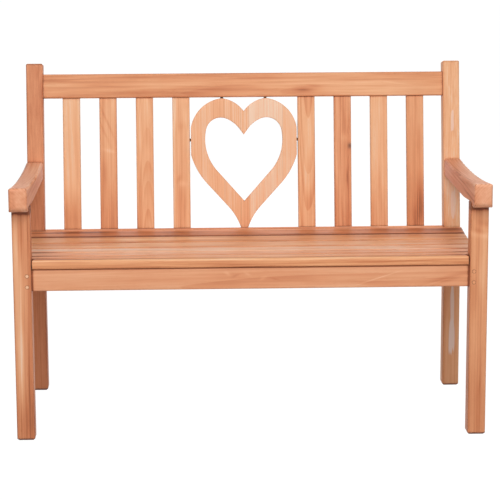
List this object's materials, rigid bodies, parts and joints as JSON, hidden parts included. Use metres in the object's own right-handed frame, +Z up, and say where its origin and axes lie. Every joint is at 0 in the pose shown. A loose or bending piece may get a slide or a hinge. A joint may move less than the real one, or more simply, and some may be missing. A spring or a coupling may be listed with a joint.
{
  "type": "garden bench",
  "caption": "Wooden garden bench for two with upright back slats round a pierced heart splat, curved arms, straight legs and a dished slatted seat.",
  "frame": {"origin": "middle of the footprint, at floor level", "axes": "+X across the bench towards the right arm as seen from the front, +Y from the front to the back, +Z up"},
  "size_m": [1.2, 0.6636, 0.903],
  "materials": {
    "teak": "sanded, unoiled, new",
    "dark_dowel": "dark stained dowel",
    "screw_metal": "satin"
  },
  "bodies": {
    "root": {"left_front_leg": "teak", "right_front_leg": "teak", "left_back_leg": "teak", "right_back_leg": "teak", "left_arm": "teak", "right_arm": "teak", "front_rail": "teak", "left_side_rail": "teak", "right_side_rail": "teak", "centre_bearer": "teak", "top_rail": "teak", "lower_back_rail": "teak", "back_slat_1": "teak", "back_slat_2": "teak", "back_slat_3": "teak", "back_slat_4": "teak", "back_slat_5": "teak", "back_slat_6": "teak", "back_slat_7": "teak", "back_slat_8": "teak", "heart_splat": "teak", "heart_side_dowels": "dark_dowel", "heart_top_dowels": "dark_dowel", "seat_slat_1": "teak", "seat_slat_2": "teak", "seat_slat_3": "teak", "seat_slat_4": "teak", "seat_slat_5": "teak", "seat_slat_6": "teak", "seat_slat_7": "teak", "front_rail_pegs": "teak", "side_rail_pegs": "teak", "lower_rail_pegs": "teak", "top_rail_pegs": "teak", "seat_screws": "screw_metal"}
  },
  "joints": []
}
